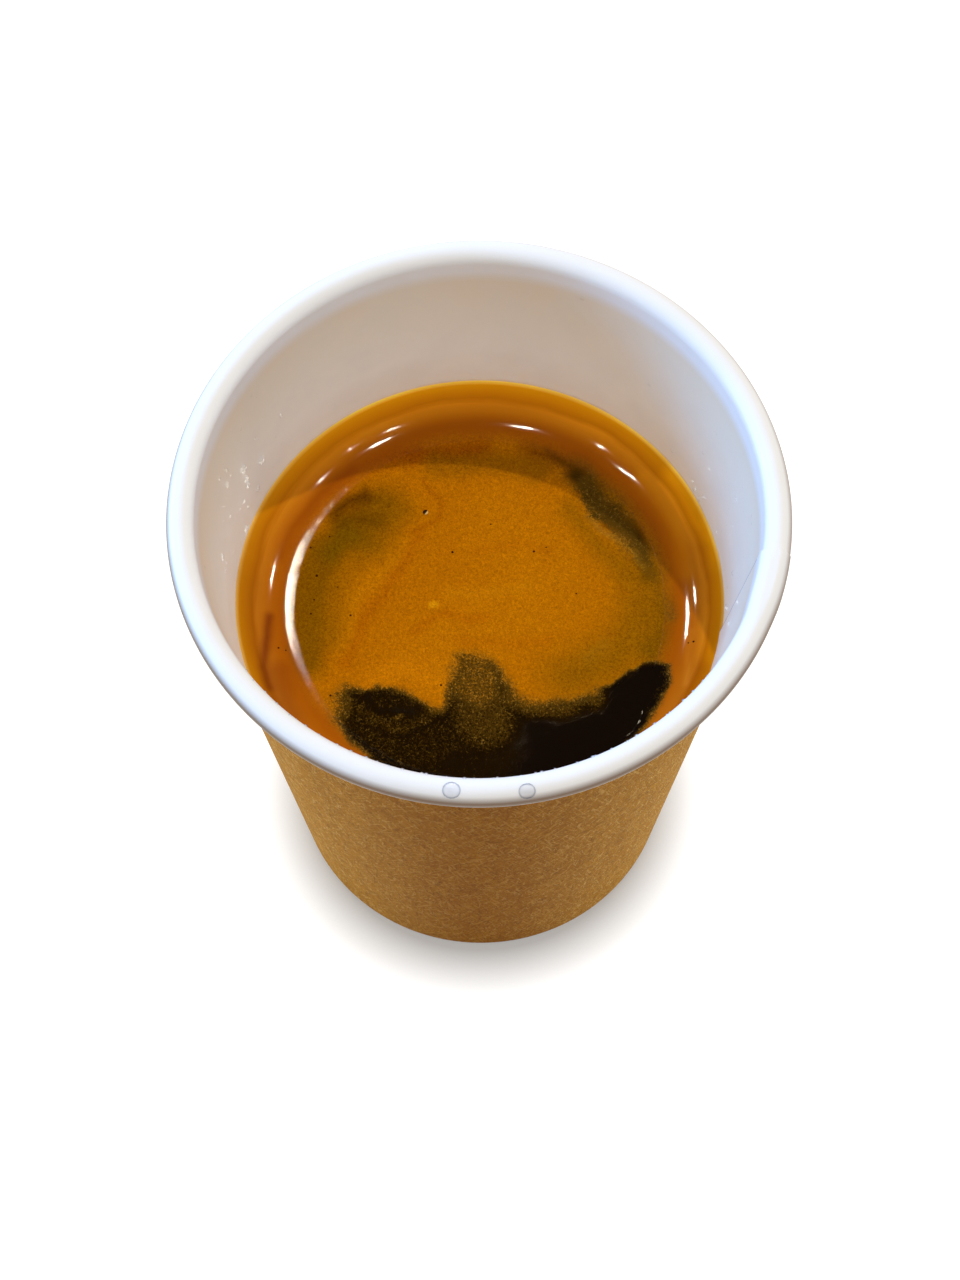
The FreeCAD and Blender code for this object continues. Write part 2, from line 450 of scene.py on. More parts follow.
pulp = paper.grain(on_wrap, 0.22, 4, 0.6)
tooth = paper.grain(on_wrap, 4.0, 3, 0.6)
pale_fibres = fibres((0.6, 2.2), 0.3, 2.2)
dark_fibres = fibres((-0.3, 1.4), 0.32, 1.9)
pale_curls = curls(0.6, 0.03)
dark_curls = curls(0.8, 0.034)
brown = paper.mix(paper.spread(pulp, 0.3, 0.7), srgb(154, 95, 14), srgb(170, 109, 24))
brown = paper.mix(paper.spread(tooth, 0.35, 0.65, 0.0, 0.2), brown, srgb(134, 84, 18))
for laid, strength, colour in (
    (dark_fibres, 0.5, srgb(104, 62, 12)),
    (dark_curls, 0.6, srgb(100, 58, 10)),
    (pale_fibres, 0.42, srgb(204, 152, 76)),
    (pale_curls, 0.55, srgb(206, 156, 84)),
):
    brown = paper.mix(paper.times(laid, strength), brown, colour)
felt = paper.sum("ADD", paper.sum("ADD", pale_fibres, pale_curls), tooth)
paper.finish(
    Base_Color=brown,
    Roughness=paper.spread(tooth, 0.3, 0.7, 0.62, 0.75),
    Normal=paper.bump(felt, 0.03 * MM, 0.7),
    Specular_IOR_Level=0.05,
    Sheen_Weight=0.01,
    Sheen_Roughness=0.3,
)
kraft_wrap.data.materials.append(paper.material)
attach(kraft_wrap, "root")
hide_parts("kraft_wrap")

# ------------------------------------------------------------
# Crema. Fine amber foam that floats on the coffee, thin enough to let it through in front and
# in a streak at the back. It is smooth where it climbs the wall and finely felted in the middle.
# ------------------------------------------------------------
surface_rise = 3.5 * MM
surface_reach = 3.5 * MM
drink_level = contact_height - surface_rise
into_wall = 0.12 * MM       # the drink reaches just into the white wall, so that no gap shows
drink_radius = white_face(contact_height) + into_wall
foam_depth = 1.2 * MM
foam_cells = 196
pool_drop = 0.03 * MM
fully_bare = 0.97
ring_start = 25.5

# From here on places are in millimetres from the middle of the cup, seen from above, -Y towards the
# drinker. The coffee's two openings in the foam: their outlines, as (x, y, softness of the edge)
front_opening = [
    (-20, -13.4, 2.7), (-17.8, -11.2, 3), (-15.2, -12, 1.6), (-12.6, -11.8, 1.4), (-9.6, -12.4, 1.4),
    (-7.6, -14.4, 1.6), (-5.2, -15.4, 1.9), (-4.4, -12.6, 2.2), (-4.2, -9.6, 2.4), (-3.2, -7.2, 2.4),
    (-0.8, -6.4, 2.4), (0.8, -7.4, 2.2), (2.4, -9, 2.4), (4, -11.6, 2.7), (5.4, -13.6, 2.7),
    (10, -13.8, 2.4), (13.6, -13.6, 1.6), (16.7, -12.2, 1.1), (19.6, -10.5, 0.9), (21.7, -9.2, 0.9),
    (24.2, -8.5, 1.1), (25.8, -9, 1.4), (25.2, -12, 1.6), (24, -15, 1.9), (22.5, -17.8, 1.9),
    (20.6, -20, 1.6), (15.4, -24.4, 1.4), (8, -27.6, 1.4), (0, -28.6, 1.4), (-8.4, -27.4, 1.6),
    (-13.4, -24.4, 2.2), (-16.4, -20.8, 2.2), (-18.6, -18.4, 2.4), (-20, -16.2, 2.7),
]
back_opening = [
    (7.4, 24.6, 2.7), (11.4, 22.8, 2.7), (15.2, 21.6, 3.7), (19.2, 18.4, 4.1), (22.2, 14.6, 3.7),
    (24.6, 11, 3.4), (26.2, 6.6, 2.4), (26.8, 2.4, 1.7), (26.2, -2, 2.7), (24.6, 1.6, 3.4),
    (23, 5.2, 2.7), (20.6, 7.4, 2.7), (19.2, 9.4, 2), (17.6, 11.9, 1.2), (15, 14, 1.2),
    (13.4, 16.6, 1.5), (12.2, 19, 2.7), (9.6, 22.2, 3.1),
]
# Veils of loose bubbles over the openings: (how thick, points of the stroke, half width, softness)
front_veils = [
    (0.5, [(-2, -6), (-1.2, -10), (-0.4, -12)], 3.6, 3.6),
    (0.32, [(-0.8, -11), (0.4, -16.4)], 4.4, 5),
    (0.44, [(4, -13.4), (10, -14.4), (14.6, -13.4)], 1.8, 3.4),
    (0.46, [(-19.6, -11.4), (-19.4, -15.4)], 2.2, 3.8),
    (0.15, [(-19, -15), (-15.5, -20.5), (-9, -22), (-5, -19), (1, -18.6)], 3.4, 5),
    (0.09, [(-14, -23.5), (-4, -25), (2, -22)], 3, 4),
    (0.22, [(-17.6, -14), (-14.8, -16.6), (-10.6, -18), (-7, -16.2), (-6.6, -13.4)], 1.3, 2.8),
    (0.2, [(-16.6, -12.6), (-12, -11.6), (-8.6, -12)], 0.6, 1.6),
    (0.13, [(-13.5, -13.2), (-9, -13.4)], 1.6, 1.6),
    (0.5, [(-11.9, -16.4), (-10.5, -16.1)], 0.2, 0.9),
    (0.16, [(25, -10), (22.8, -18)], 0.8, 1.8),
]
back_veils = [
    (0.46, [(18.4, 20.2), (22.8, 14.6), (25.6, 8.6), (26.8, 2)], 2.6, 2.6),
    (0.42, [(7, 25), (11, 22.8), (13.6, 20.4)], 2, 3),
    (0.26, [(19.8, 8.4), (21.8, 6), (23.6, 3)], 1.3, 2),
    (0.2, [(18.6, 11.6), (20.2, 9.4)], 0.8, 1.6),
]
# Washes of colour over the amber: (colour, points of the stroke, half width, softness, strength)
amber = srgb(176, 103, 2)
foam_washes = [
    ((184, 110, 3), [(-6, -8), (2, -2), (8, 5), (4, 13)], 6, 9, 0.7),
    ((190, 118, 5), [(-10.4, 9.4), (-13.8, 4.6), (-17.2, 0.4), (-18.8, -5)], 0.9, 3, 0.5),
    ((160, 82, 1), [(-8.2, 11), (-12.2, 4), (-16.2, -3), (-18, -8)], 0.6, 2.6, 0.6),
    ((152, 78, 1), [(-7.6, 19.4), (-5.8, 16.4), (-6.4, 13.6), (-9.2, 11.6)], 0.2, 1.2, 0.75),
    ((194, 116, 4), [(-14, -11), (-9, -9), (-5, -11)], 1.4, 3.2, 0.7),
    ((164, 84, 1), [(-9, -4), (-4, -1.6), (1, -1.8)], 0.4, 1.6, 0.5),
    ((192, 122, 8), [(-4, 2), (2, 1.4), (7, 2.8)], 0.5, 2.2, 0.45),
    ((166, 88, 2), [(0, 8), (6, 9.6), (10, 8)], 0.4, 1.8, 0.4),
    ((162, 84, 1), [(-2, -4.6), (4, -6), (9, -5)], 0.5, 2.2, 0.4),
    ((122, 77, 2), [(-24.4, -8), (-23.8, 0), (-22, 6), (-18.4, 11), (-13.6, 15)], 3.2, 4, 0.95),
    ((106, 74, 3), [(-20.5, 7.5), (-18, 11), (-15.6, 9.4)], 1.4, 3.4, 0.75),
    ((142, 88, 2), [(-20.4, -4), (-18.4, 4), (-13.6, 10), (-10.4, 15)], 1.8, 3.6, 0.6),
    ((70, 38, 2), [(-20.4, 14), (-18.6, 16), (-15.6, 17.2)], 0.9, 3.2, 0.95),
    ((84, 54, 3), [(-19.4, 12.4), (-17, 13.6), (-13.8, 13)], 0.5, 3.4, 0.75),
    # painted shade: these two deepen the band where the lip's shadow falls across the back
    ((146, 68, 2), [(-24, 17), (-17, 21.5), (-8, 23.2), (0, 24.2)], 1.4, 3.4, 0.85),
    ((116, 58, 2), [(7.6, 23.4), (12.4, 22), (16.6, 19.6)], 1.5, 4, 0.85),
    ((112, 68, 4), [(14, 21.5), (19.5, 17), (23.6, 11.5), (25.4, 5)], 1.4, 4, 0.8),
    ((32, 16, 2), [(14, 19), (16.6, 15.8), (19.4, 12.2), (21.4, 8.8), (22.8, 4.8)], 1.4, 2.4, 1),
    ((70, 38, 2), [(9.6, 24), (13.8, 19.6)], 0.3, 1.8, 0.8),
    ((164, 126, 48), [(15.2, 13.4), (18.2, 10.4), (20.4, 7.6), (22.2, 5.2)], 0.3, 1.4, 0.5),
    # painted shade in the lip's shadow band at the back
    ((140, 86, 4), [(-6, 21.8), (2, 22.2), (8, 20.6)], 1.8, 2.8, 0.75),
    ((116, 74, 3), [(25.8, 0), (25, -4), (23.4, -7.4)], 1.8, 3.2, 0.95),
    ((130, 83, 3), [(23.6, 4), (22.4, -2.5), (18.4, -7.6), (12, -11)], 3.2, 8, 0.8),
    ((140, 88, 3), [(12.6, 14.4), (17, 8.4), (20, 4)], 1.4, 3.2, 0.75),
    ((156, 112, 24), [(16.8, -5.6), (14.8, -8)], 0.5, 2.6, 0.3),
    ((206, 138, 12), [(-6.3, -0.3), (-5.7, -0.3)], 0.5, 0.4, 0.9),
]
# Streaks in the smooth ring, as shares of its red, green and blue
ring_washes = [
    ((0.36, 0.18, 0.5, 1), [(-28.4, -1.6), (-29, -6), (-29, -9.6), (-28, -12.4)], 0.55, 1.4, 0.9),
    ((0.66, 0.54, 0.8, 1), [(-27.2, -10), (-26, -15), (-24.4, -19)], 1.4, 2.4, 0.8),
    ((0.72, 0.6, 0.8, 1), [(-27.2, 7), (-25.8, 11.4), (-22.4, 16.8), (-17.6, 20.8)], 0.4, 1.8, 0.8),
    ((0.72, 0.6, 0.8, 1), [(26.2, 12.6), (28.6, 8), (29.8, 3)], 0.15, 0.9, 0.3),
    # painted light: these two lighten the ring at the right and back right, where the lip's shadow falls
    ((1.42, 1.55, 1.2, 1), [(26.4, 18), (31.4, 8), (32, 0), (31, -8)], 1.2, 3, 1),
    ((1.22, 1.36, 1, 1), [(22.6, 18.6), (27, 11), (28.4, 4)], 0.9, 2, 0.9),
    ((1.3, 1.5, 3, 1), [(28.8, -4.6), (27.4, -12)], 0.4, 1.2, 0.6),
]


def still_disc(name, cells):
    """A flat disc of even squares, of unit radius: a square grid whose sides are drawn in to a circle."""
    bpy.ops.object.select_all(action="DESELECT")
    bpy.ops.mesh.primitive_grid_add(x_subdivisions=cells, y_subdivisions=cells, size=2)
    piece = bpy.context.object
    piece.name = name
    for point in piece.data.vertices:
        x, y = point.co.x, point.co.y
        point.co.x = x * math.sqrt(1 - y * y / 2)
        point.co.y = y * math.sqrt(1 - x * x / 2)
    return piece


def points_of(piece):
    """The points of a piece as rows of x, y and z."""
    spots = np.empty(len(piece.data.vertices) * 3)
    piece.data.vertices.foreach_get("co", spots)
    return spots.reshape(-1, 3)


def put_points(piece, spots):
    """Moves the points of a piece to new places."""
    piece.data.vertices.foreach_set("co", spots.ravel())
    piece.data.update()


def surface_at(radius):
    """Height of the drink's surface at a distance from the axis: flat, lifting towards the wall."""
    from_wall = drink_radius - np.minimum(radius, drink_radius)
    return drink_level + surface_rise * np.exp(-from_wall / surface_reach)


def drift(x, y, size, reach, seed):
    """A smooth random shift of places, in millimetres."""
    spots = [Vector((a / size, b / size, seed)) for a, b in zip(x.tolist(), y.tolist())]
    return np.array([reach * noise.noise(spot) for spot in spots])


def wander(x, y, coarse, fine, seeds):
    """Places shifted by a coarse and a fine drift, each as (size, reach), with two seeds for each way."""
    shifted = []
    for across, (first, second) in zip((x, y), seeds):
        shifted.append(across + drift(x, y, *coarse, first) + drift(x, y, *fine, second))
    return shifted


def gap_to_edge(x, y, start, end):
    """Distance of places from a straight edge, and how far along it they lie, from 0 to 1."""
    dx, dy = end[0] - start[0], end[1] - start[1]
    along = np.clip(((x - start[0]) * dx + (y - start[1]) * dy) / (dx * dx + dy * dy), 0, 1)
    return np.hypot(x - start[0] - along * dx, y - start[1] - along * dy), along


def ease(share):
    """A straight ramp from 0 to 1 made to start and end gently."""
    share = np.clip(share, 0, 1)
    return share * share * (3 - 2 * share)


def stroke_mask(x, y, points, width, softness):
    """1 inside a stroke drawn through points, falling to 0 over its soft edge."""
    gap = np.full(x.shape, 1e9)
    for start, end in zip(points, points[1:]):
        gap = np.minimum(gap, gap_to_edge(x, y, start, end)[0])
    return ease((width + softness / 2 - gap) / softness)


def opening_mask(x, y, outline):
    """1 inside a closed outline, falling to 0 over the softness given at each of its points."""
    gap = np.full(x.shape, 1e9)
    softness = np.ones(x.shape)
    inside = np.zeros(x.shape, dtype=bool)
    for start, end in zip(outline, outline[1:] + outline[:1]):
        reach, along = gap_to_edge(x, y, start, end)
        nearer = reach < gap
        gap = np.where(nearer, reach, gap)
        softness = np.where(nearer, start[2] + along * (end[2] - start[2]), softness)
        if start[1] != end[1]:
            crossing = start[0] + (y - start[1]) * (end[0] - start[0]) / (end[1] - start[1])
            inside ^= ((y > start[1]) != (y > end[1])) & (x < crossing)
    return ease(0.5 + np.where(inside, gap, -gap) / softness)


def thickest(x, y, veils):
    """The thickest of the veils at each place."""
    cover = np.zeros(x.shape)
    for amount, points, width, softness in veils:
        cover = np.maximum(cover, amount * stroke_mask(x, y, points, width, softness))
    return cover


def bare_share(x, y):
    """How bare the coffee is at a place, from 0 under full foam to 1."""
    wavy = wander(x, y, (2.6, 0.8), (0.9, 0.3), ((3.1, 5.7), (8.3, 1.9)))
    front = opening_mask(*wavy, front_opening) * (1 - thickest(*wavy, front_veils))
    back = opening_mask(*wavy, back_opening) * (0.52 - thickest(*wavy, back_veils))
    return np.maximum(front, back)


def wash(colours, x, y, washes):
    """Lays strokes of colour over the colours of a piece."""
    for colour, points, width, softness, strength in washes:
        share = (strength * stroke_mask(x, y, points, width, softness))[:, None]
        colours = colours * (1 - share) + np.array(colour) * share
    return colours


def paint(piece, colours, bare):
    """Keeps the foam's colour and how bare the coffee is at each point of a piece."""
    tint = piece.data.color_attributes.new("foam_tint", "FLOAT_COLOR", "POINT")
    tint.data.foreach_set("color", colours.astype(np.float32).ravel())
    show = piece.data.attributes.new("bareness", "FLOAT", "POINT")
    show.data.foreach_set("value", bare.astype(np.float32))


crema = still_disc("crema", foam_cells)
spots = points_of(crema)
azimuths = np.arctan2(spots[:, 1], spots[:, 0])
# Its edge wanders a little on the wall, and its middle swells where the foam is thick
reach = drink_radius + 0.05 * MM * np.sin(3 * azimuths + 1) + 0.04 * MM * np.sin(7 * azimuths)
spots[:, :2] *= reach[:, None]
x_mm, y_mm = spots[:, 0] / MM, spots[:, 1] / MM
radii = np.hypot(spots[:, 0], spots[:, 1])
bare = bare_share(x_mm, y_mm)
in_middle = np.clip((ring_start - 0.4 - radii / MM) / 1.6, 0, 1)
swell = drift(x_mm, y_mm, 5.0, 0.05, 12.5) + drift(x_mm, y_mm, 1.3, 0.025, 4.4)
fine = drift(x_mm, y_mm, 0.55, 0.03, 9.1)
spots[:, 2] = surface_at(radii) + (swell + fine) * in_middle * (1 - bare) * MM - pool_drop * ease(bare)
put_points(crema, spots)
soft_x, soft_y = wander(x_mm, y_mm, (6.0, 1.2), (1.6, 0.35), ((2.2, 7.7), (6.6, 3.3)))
foam_strokes = [(srgb(*colour), *stroke) for colour, *stroke in foam_washes]
colours = wash(np.tile(np.array(amber), (len(spots), 1)), soft_x, soft_y, foam_strokes)
streaky = wash(np.ones((len(spots), 4)), (soft_x + x_mm) / 2, (soft_y + y_mm) / 2, ring_washes)
paint(crema, colours, bare)
ring_tint = crema.data.color_attributes.new("ring_tint", "FLOAT_COLOR", "POINT")
ring_tint.data.foreach_set("color", streaky.astype(np.float32).ravel())

# The middle of each opening is cut away down to the coffee
edit("DESELECT")
bpy.ops.mesh.select_mode(type="FACE")
close()
for face in crema.data.polygons:
    face.select = bool(min(bare[index] for index in face.vertices) > fully_bare)
bpy.ops.object.mode_set(mode="EDIT")
bpy.ops.mesh.delete(type="FACE")
bpy.ops.mesh.select_all(action="DESELECT")
close()
give_thickness(crema, foam_depth, -1.0)
smooth(crema, 60)

drink = Nodes("crema")
where = drink.place()
tint = drink.add("ShaderNodeAttribute", "Color", attribute_name="foam_tint")
streak = drink.add("ShaderNodeAttribute", "Color", attribute_name="ring_tint")
bareness = drink.add("ShaderNodeAttribute", "Fac", attribute_name="bareness")

# Felt of the foam: broken curly hairs, paler and darker than the specks and clouds that they lie on
hair_breaks = drink.spread(drink.grain(where, 2300, 2, 0.6), 0.44, 0.56)
hair = drink.strands(drink.grain(where, 1500, 2, 0.6, 0.6), 0.5, 0.035, hair_breaks)
dark_breaks = drink.spread(drink.grain(where, 1900, 2), 0.46, 0.6)
dark_hair = drink.strands(drink.grain(where, 1250, 2, 0.6, 0.9), 0.48, 0.03, dark_breaks)
speck = drink.spread(drink.grain(where, 3400, 3, 0.65, 0.8), 0.34, 0.66)
mottle = drink.spread(drink.grain(where, 620, 4, 0.65, 0.6), 0.34, 0.66)

# The felt ends in an uneven line, past which the surface is a smooth ring that runs up the wall
flat_place = drink.vector("MULTIPLY", where, (1, 1, 0))
from_axis = drink.vector("LENGTH", flat_place)
direction = drink.vector("NORMALIZE", flat_place)
felt_edge = drink.sum("ADD", from_axis, drink.swing(mottle, 0.35 * MM))
felted = drink.spread(felt_edge, (ring_start - 0.3) * MM, (ring_start - 0.22) * MM, 1.0, 0.0)
blended = drink.spread(felt_edge, (ring_start - 0.6) * MM, (ring_start + 1.8) * MM, 1.0, 0.0)

# Colours of the ring, from the felt out to the wall, drawn out into long streaks round the cup; its lighter
# bands are painted reflections of the white wall in the rising surface
radius_up = drink.add("ShaderNodeCombineXYZ", 0, {"Z": drink.times(from_axis, 420.0)})
long_streaks = drink.grain(drink.vector("ADD", direction, radius_up), 1.6, 4, 0.6, 0.3)
ring_place = drink.sum("ADD", from_axis, drink.swing(drink.grain(direction, 2.2, 3, 0.5), 1.8 * MM))
ring_place = drink.sum("ADD", ring_place, drink.swing(long_streaks, 1.2 * MM))
near_wall = drink.spread(from_axis, 31.4 * MM, 32.8 * MM)
ring_place = drink.mix(near_wall, ring_place, from_axis)
ring_start_at, ring_end_at = 24.0, 33.4
ring_ramp = drink.tree.nodes.new("ShaderNodeValToRGB")
drink.set(ring_ramp.inputs["Fac"], drink.spread(ring_place, ring_start_at * MM, ring_end_at * MM))
ring_bands_and_reflections = [
    # (distance from the axis in millimetres, colour)
    (24.6, (164, 88, 2)), (26.6, (158, 80, 2)), (28.2, (168, 90, 4)),
    (29.4, (178, 102, 14)), (30.4, (184, 110, 20)), (31.1, (162, 90, 3)),
    (31.9, (180, 108, 5)), (32.6, (192, 122, 6)), (33.1, (230, 184, 90)),
]
while len(ring_ramp.color_ramp.elements) < len(ring_bands_and_reflections):
    ring_ramp.color_ramp.elements.new(0.5)
for element, (radius, colour) in zip(ring_ramp.color_ramp.elements, ring_bands_and_reflections):
    element.position = (radius - ring_start_at) / (ring_end_at - ring_start_at)
    element.color = srgb(*colour)
ring_colour = drink.mix(1.0, ring_ramp.outputs["Color"], streak, "MULTIPLY")
ring_colour = drink.mix(drink.spread(long_streaks, 0.35, 0.65, 0.0, 0.22), ring_colour, srgb(150, 70, 2))
# Towards the wall at the back the ring is painted lighter: partly the thin film of coffee over the white
# board, partly painted light from the wall
at_back = drink.spread(drink.part(direction, "Y"), 0.1, 0.85)
thin_film_and_painted_light = drink.times(at_back, drink.spread(from_axis, 28.0 * MM, 31.0 * MM))
ring_colour = drink.mix(thin_film_and_painted_light, ring_colour, drink.shade(ring_colour, 1.75, 1.92, 1.2))

# Colours of the felt, from the tint painted on the foam
deeper = drink.shade(tint, 0.69, 0.66, 0.6)
foam_colour = drink.mix(speck, deeper, drink.shade(tint, 1.25, 1.30, 0.8))
foam_colour = drink.mix(drink.times(hair, 0.8), foam_colour, drink.shade(tint, 1.4, 1.55, 1.2))
foam_colour = drink.mix(drink.spread(mottle, 0.0, 1.0, 0.0, 0.18), foam_colour, deeper)
foam_colour = drink.mix(drink.times(dark_hair, 0.85), foam_colour, drink.shade(tint, 0.55, 0.5, 0.8))
surface_colour = drink.mix(blended, ring_colour, foam_colour)

# Where the foam thins, the hairs and specks are the last of it to stay on the black coffee
lifted = drink.sum("ADD", drink.times(hair, -0.20), drink.swing(speck, -0.30))
lifted = drink.times(lifted, drink.spread(bareness, 0.02, 0.25))
lifted = drink.times(lifted, drink.spread(bareness, 0.80, 1.0, 1.0, 0.12))
bare_here = drink.sum("ADD", bareness, lifted)
veil_colour = drink.mix(hair, srgb(100, 70, 14), srgb(156, 120, 50))
drink_colour = drink.mix(drink.spread(bare_here, 0.02, 0.52), surface_colour, veil_colour)
drink_colour = drink.mix(drink.spread(bare_here, 0.26, 0.86), drink_colour, srgb(15, 6, 1))

# The felt is matt and its little gloss is amber; the ring and the bare coffee are wet, and at the
# ring's inner edge the last specks sparkle
matt = drink.times(felted, drink.spread(bare_here, 0.955, 0.965, 1.0, 0.0))
felt_relief = drink.times(drink.sum("ADD", speck, hair), matt)
off_ring_edge = drink.off(from_axis, (ring_start + 0.1) * MM)
sparkle = drink.times(speck, drink.spread(off_ring_edge, 0.2 * MM, 0.8 * MM, 0.16, 0.0))
drink.finish(
    Base_Color=drink_colour,
    Roughness=drink.spread(matt, 0.0, 1.0, 0.05, 0.98),
    Normal=drink.bump(drink.sum("ADD", felt_relief, sparkle), 0.03 * MM, 0.5),
    Specular_Tint=drink.mix(matt, (1, 1, 1, 1), (1.0, 0.5, 0.05, 1)),
    Specular_IOR_Level=0.045,
    IOR=1.34,
)
crema.data.materials.append(drink.material)
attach(crema, "root")
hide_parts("crema")

# ------------------------------------------------------------
# Coffee. Black coffee fills the cup from the base disc to its surface, where it shows between
# the foam, with specks of foam adrift on it.
# ------------------------------------------------------------
coffee_cells = 120
coffee_foot = disc_high[2] + 0.05 * MM
side_into_wall = 0.08 * MM
clear_of_foam = 0.01 * MM
coffee = still_disc("coffee", coffee_cells)
spots = points_of(coffee)
spots[:, :2] *= drink_radius
radii = np.hypot(spots[:, 0], spots[:, 1])
x_mm, y_mm = spots[:, 0] / MM, spots[:, 1] / MM
bare = bare_share(x_mm, y_mm)
under_foam = np.clip((0.93 - bare) / 0.2, 0, 1) * np.clip((drink_radius - radii) / (1.5 * MM), 0, 1)
spots[:, 2] = surface_at(radii) - pool_drop - clear_of_foam - under_foam * (foam_depth - pool_drop)
put_points(coffee, spots)
paint(coffee, np.tile(np.array(amber), (len(spots), 1)), np.maximum(bare, 0.9))
bpy.context.view_layer.objects.active = coffee
edit()
bpy.ops.mesh.region_to_loop()
side = (drink_radius, contact_height - pool_drop)
for height in (drink_level - 2 * MM, 50 * MM, 35 * MM, 20 * MM, coffee_foot):
    next_side = (white_face(height) + side_into_wall, height)
    pull_ring(*side, *next_side)
    side = next_side
bpy.ops.mesh.edge_face_add()
close()
face_outwards(coffee)
smooth(coffee, 60)
coffee.data.materials.append(drink.material)
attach(coffee, "root")
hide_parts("coffee")

# ------------------------------------------------------------
# Pinholes. Burst bubbles that have left the finest dark pits in the felt of the foam, and one
# bubble that is still whole, a dark bead whose bright rim is a painted highlight.
# ------------------------------------------------------------
pinholes = [
    # (x, y, half width), in millimetres from the middle of the cup
    (-3.7, 8.2, 0.19), (-23.2, 8.9, 0.17), (-22.3, 4.7, 0.2), (-22.6, 1.1, 0.14), (-23, -1, 0.16),
    (-17.6, -1.2, 0.16), (7.5, 8.2, 0.19), (9.2, 8.8, 0.13), (-27.3, -6.3, 0.15), (-26.3, -6.6, 0.13),
    (28.9, -6, 0.17), (28.2, -6.1, 0.12), (-20.2, -13.1, 0.18), (-5.3, -11.6, 0.16), (-20.6, 10.6, 0.12),
    (-19.4, 3, 0.13), (1.6, 12.4, 0.11), (13.2, 1.8, 0.12),
]
pit_height = 0.12 * MM
bead_foot = -0.25           # how far a bead reaches into what it sits on, as a share of its height


def bead(name, rings, facets):
    """A drop of unit radius and height: a dome, closed flat a little under its own foot."""
    bpy.ops.object.select_all(action="DESELECT")
    bpy.ops.mesh.primitive_uv_sphere_add(segments=facets, ring_count=rings * 2, radius=1.0)
    drop = bpy.context.object
    drop.name = name
    just_above = 0.001
    edit()
    bpy.ops.mesh.bisect(plane_co=(0, 0, just_above), plane_no=(0, 0, 1), use_fill=True, clear_inner=True)
    close()
    for point in drop.data.vertices:
        if point.co.z < just_above * 10:
            point.co.z = bead_foot
    return drop


def strew(drop, places):
    """Copies a drop to each place, given as (spot, way up, half width, half length, height)."""
    copies = []
    for spot, upward, width, length, height in places:
        copy = bpy.data.objects.new(drop.name, drop.data.copy())
        bpy.context.collection.objects.link(copy)
        downhill = Vector((0, 0, -1)) - Vector((0, 0, -1)).project(upward)
        downhill = downhill.normalized() if downhill.length > 0.05 else Vector((0, 1, 0))
        sideways = downhill.cross(upward)
        turn = Matrix((sideways * width, downhill * length, upward * height)).transposed().to_4x4()
        copy.data.transform(Matrix.Translation(spot) @ turn)
        copies.append(copy)
    bpy.ops.object.select_all(action="DESELECT")
    for copy in copies:
        copy.select_set(True)
    bpy.context.view_layer.objects.active = copies[0]
    bpy.ops.object.join()
    name = drop.name
    bpy.data.objects.remove(drop)
    joined = bpy.context.object
    joined.name = name
    face_outwards(joined)
    smooth(joined, 60)
    return joined


upright = Vector((0, 0, 1))
pits = []
for x, y, half in pinholes:
    height = float(surface_at(math.hypot(x, y) * MM))
    pits.append((Vector((x * MM, y * MM, height)), upright, half * MM, half * MM, pit_height))
pinhole = strew(bead("pinholes", 2, 10), pits)
pit_dark = Nodes("pit_dark")
pit_tone = pit_dark.grain(pit_dark.place(), 5200, 2)
pit_dark.finish(
    Base_Color=pit_dark.mix(pit_tone, srgb(30, 10, 1), srgb(74, 32, 2)),
    Roughness=0.6,
    Specular_IOR_Level=0.03,
)
pinhole.data.materials.append(pit_dark.material)
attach(pinhole, "root")

bubble_spot = Vector((-7.4 * MM, 14.3 * MM, drink_level))
bubble_half, bubble_height = 0.38 * MM, 0.34 * MM
bubble = strew(bead("bubble", 6, 24), [(bubble_spot, upright, bubble_half, bubble_half, bubble_height)])
film = Nodes("bubble_film")
where = film.place()
# The bright crescent round the bead is a painted highlight, set off the middle of its dark shell
dark_middle = tuple(bubble_spot + Vector((-0.10, 0.08, 0.0)) * MM)
from_middle = film.vector("DISTANCE", where, dark_middle)
painted_highlight_rim = film.spread(from_middle, 0.41 * MM, 0.45 * MM)
film_tone = film.spread(film.grain(where, 4200, 2), 0.3, 0.7)
shell = film.mix(film_tone, srgb(24, 8, 1), srgb(52, 20, 1))
film.finish(
    Base_Color=film.mix(painted_highlight_rim, shell, srgb(246, 206, 120)),
    Roughness=0.12,
    Specular_IOR_Level=0.2,
)
bubble.data.materials.append(film.material)
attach(bubble, "root")

# ------------------------------------------------------------
# Splashes. Clear drops of water: two sit on the rolled lip, finer ones are strung along its
# inner edge, and condensed ones cling to the sides of the white wall.
# ------------------------------------------------------------
chance = random.Random(11)
clinging = [
    # (azimuth, height above the drink's edge, half width), in degrees and millimetres
    (146.8, 21, 0.24), (140.6, 11, 0.34), (149.8, 7.2, 0.62), (156.2, 11, 0.66), (156.4, 8.6, 0.58),
    (156.6, 7, 0.44), (154, 3.6, 0.48), (160, 6, 0.4), (159.2, 3.6, 0.26), (161.4, 16, 0.34),
    (164.6, 17.5, 0.3), (163.2, 14, 0.38), (166.6, 9, 0.24), (163, 1.2, 0.5), (176.8, 9, 0.46),
    (149.8, 13, 0.28), (152.6, 18, 0.24), (178.4, 6.8, 0.3), (37.4, 3, 0.36), (28.4, 10, 0.26),
    (25, 9, 0.3), (27.2, 1.4, 0.44), (28.6, 2.2, 0.32), (24.6, 1, 0.36), (23.4, 2.8, 0.34),
    (14.6, 1.8, 0.3), (-4.6, 1.6, 0.42), (-5.8, 2.6, 0.34), (67.2, 22.5, 0.36), (48, 12, 0.3),
    (12.4, 13.8, 0.32), (0.4, 6.2, 0.34), (-11.4, 12.4, 0.3), (-13.2, 7.6, 0.36),
]
finest_drops = 44
misted_sides = (162.0, 10.0)
